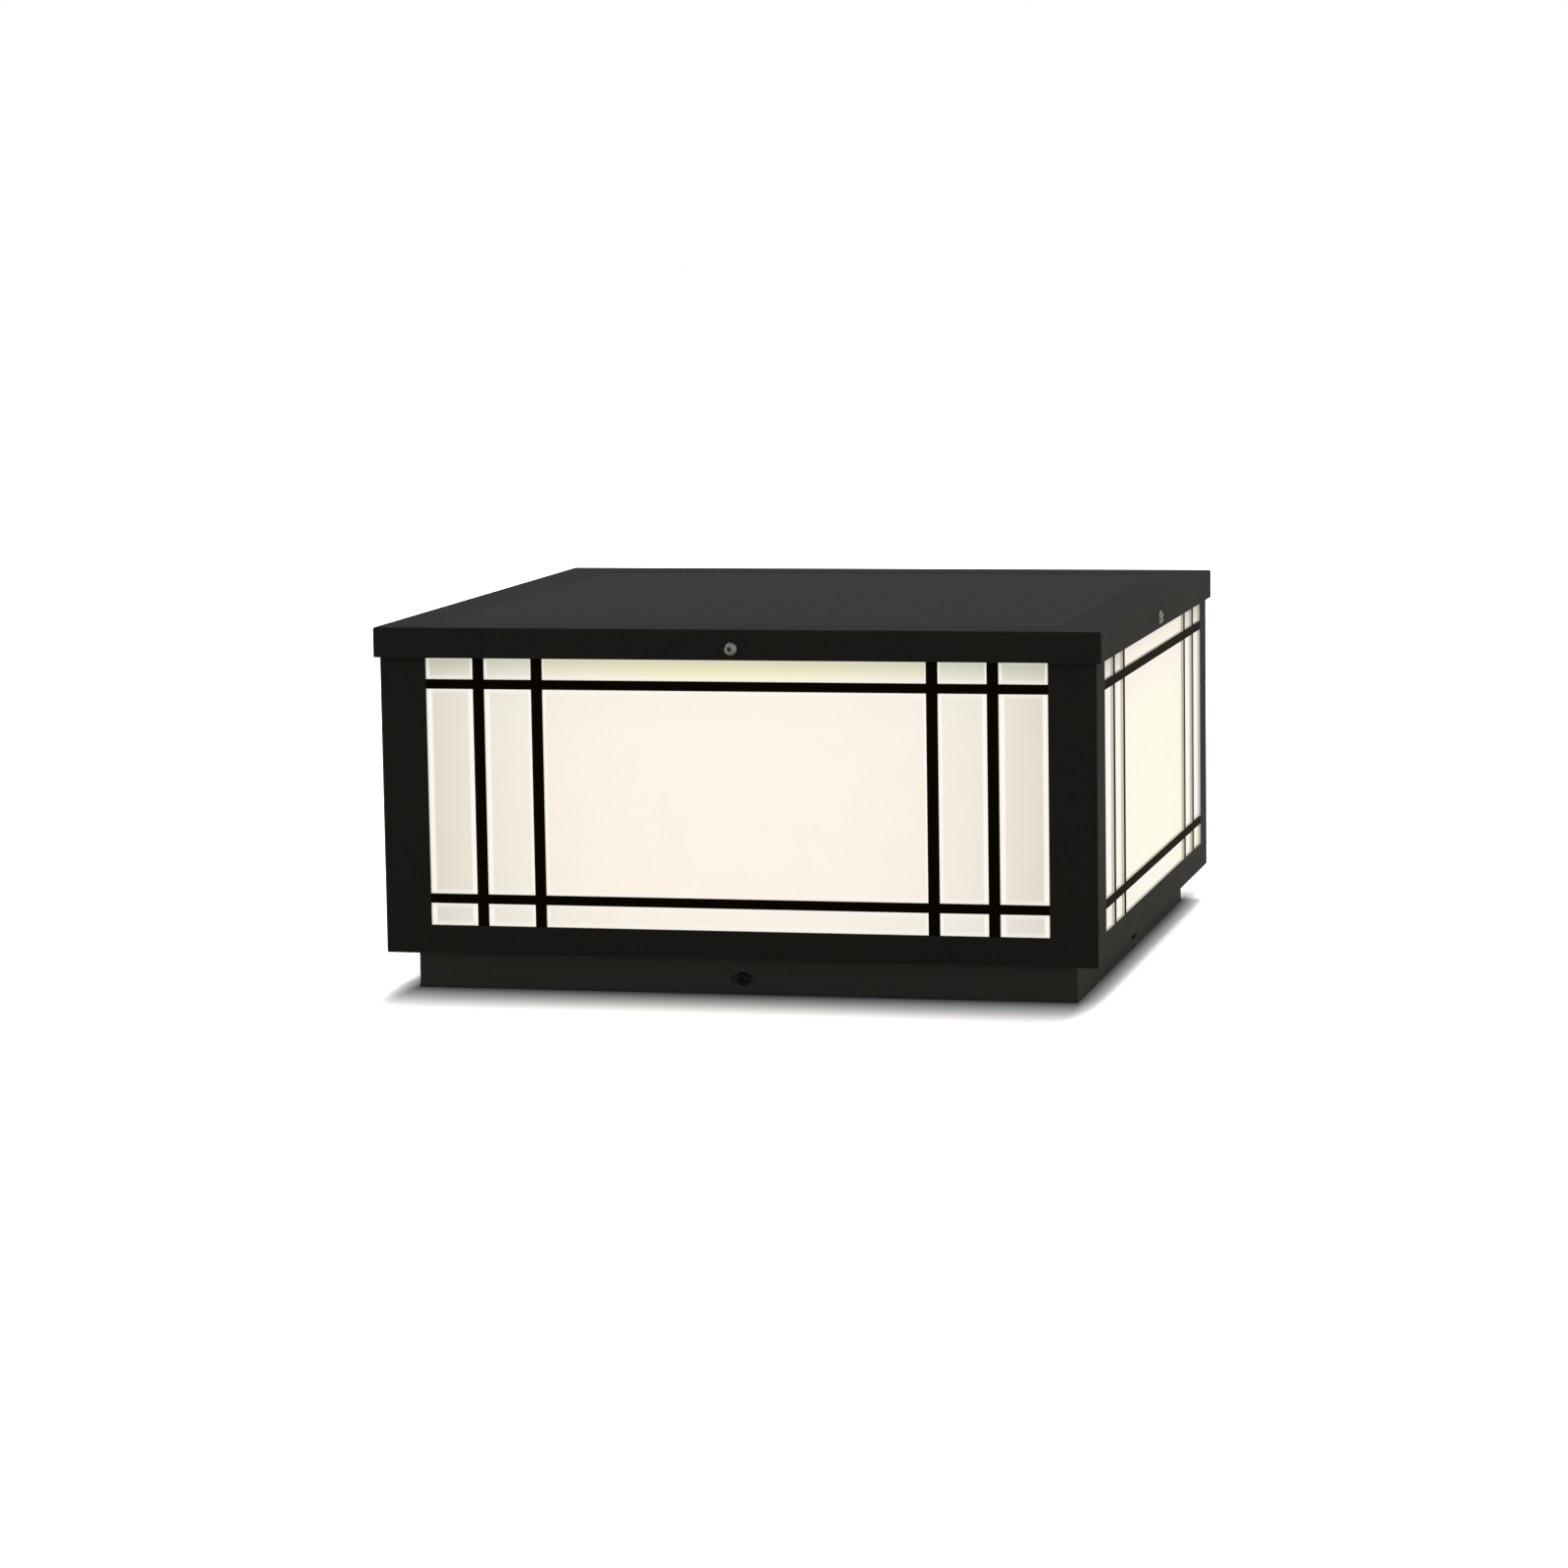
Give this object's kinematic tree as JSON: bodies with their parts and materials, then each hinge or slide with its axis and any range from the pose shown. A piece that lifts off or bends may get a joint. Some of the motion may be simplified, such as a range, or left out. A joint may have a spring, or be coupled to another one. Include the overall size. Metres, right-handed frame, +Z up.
{
  "type": "solar pillar lamp",
  "caption": "Flat square solar lamp for a pillar top, with lattice windows, a lift-off lid with a solar panel, and a set-back plinth on a bolted base",
  "frame": {"origin": "middle of the footprint, on the ground under the base gasket", "axes": "+Z up, the side that faces the camera is the front and looks along -Y, +X to its right"},
  "size_m": [0.41, 0.41, 0.203],
  "materials": {
    "black_powder_coat": "satin",
    "milk_diffuser": "gloss",
    "stainless_screw": "brushed",
    "dark_screw": "satin",
    "gasket_rubber": "matte",
    "zinc_steel": "satin",
    "white_reflector": "satin",
    "solar_glass": "gloss",
    "solar_cell": "gloss",
    "cell_ribbon": "satin",
    "solar_backsheet": "matte",
    "box_plastic": "matte",
    "cell_wrap": "gloss",
    "nickel_link": "satin",
    "circuit_board": "satin",
    "board_parts": "matte",
    "led_board_white": "satin",
    "led_chip": "gloss",
    "button_cap": "gloss",
    "lead_jacket": "matte",
    "lead_clip": "matte"
  },
  "bodies": {
    "lamp_body": {"base_gasket": "gasket_rubber", "mounting_base": "black_powder_coat", "base_weld_nuts": "zinc_steel", "plinth": "black_powder_coat", "plinth_screws": "dark_screw", "plinth_rivets": "zinc_steel", "floor_pan": "zinc_steel", "reflector_sheet": "white_reflector", "front_panel": "black_powder_coat", "right_panel": "black_powder_coat", "back_panel": "black_powder_coat", "left_panel": "black_powder_coat", "front_diffuser": "milk_diffuser", "right_diffuser": "milk_diffuser", "back_diffuser": "milk_diffuser", "left_diffuser": "milk_diffuser", "front_right_corner_angle": "zinc_steel", "back_right_corner_angle": "zinc_steel", "back_left_corner_angle": "zinc_steel", "front_left_corner_angle": "zinc_steel", "diffuser_clips": "zinc_steel", "clip_rivets": "zinc_steel", "top_ring": "zinc_steel"},
    "lid": {"lid_cap": "black_powder_coat", "lid_gasket": "gasket_rubber", "lid_screws": "stainless_screw", "lid_nuts": "zinc_steel", "solar_glass": "solar_glass", "solar_backsheet": "solar_backsheet", "panel_seal": "gasket_rubber", "solar_cells": "solar_cell", "solar_ribbons": "cell_ribbon", "junction_box": "box_plastic", "gear_tray": "zinc_steel", "tray_studs": "zinc_steel", "tray_nuts": "zinc_steel", "battery_case": "box_plastic", "battery_cells": "cell_wrap", "cell_links": "nickel_link", "battery_cover": "box_plastic", "battery_screws": "zinc_steel", "control_case": "box_plastic", "control_board": "circuit_board", "control_parts": "board_parts", "control_cover": "box_plastic", "control_screws": "zinc_steel", "led_board": "led_board_white", "led_chips": "led_chip", "board_screws": "zinc_steel", "button_housing": "box_plastic", "button_nut": "zinc_steel", "battery_lead": "lead_jacket", "panel_lead": "lead_jacket", "led_lead": "lead_jacket", "button_lead": "lead_jacket", "lead_clips": "lead_clip"},
    "power_button": {"power_button": "button_cap"}
  },
  "joints": [
    {"name": "lid_lift", "type": "slide", "parent": "lamp_body", "child": "lid", "axis": [0, 0, 1], "range_m": [0, 0.06]},
    {"name": "power_button_press", "type": "slide", "parent": "lid", "child": "power_button", "axis": [0, 0, 1], "range_m": [0, 0.0015], "stiffness_N_per_m": 400, "springref_m": -0.001}
  ]
}
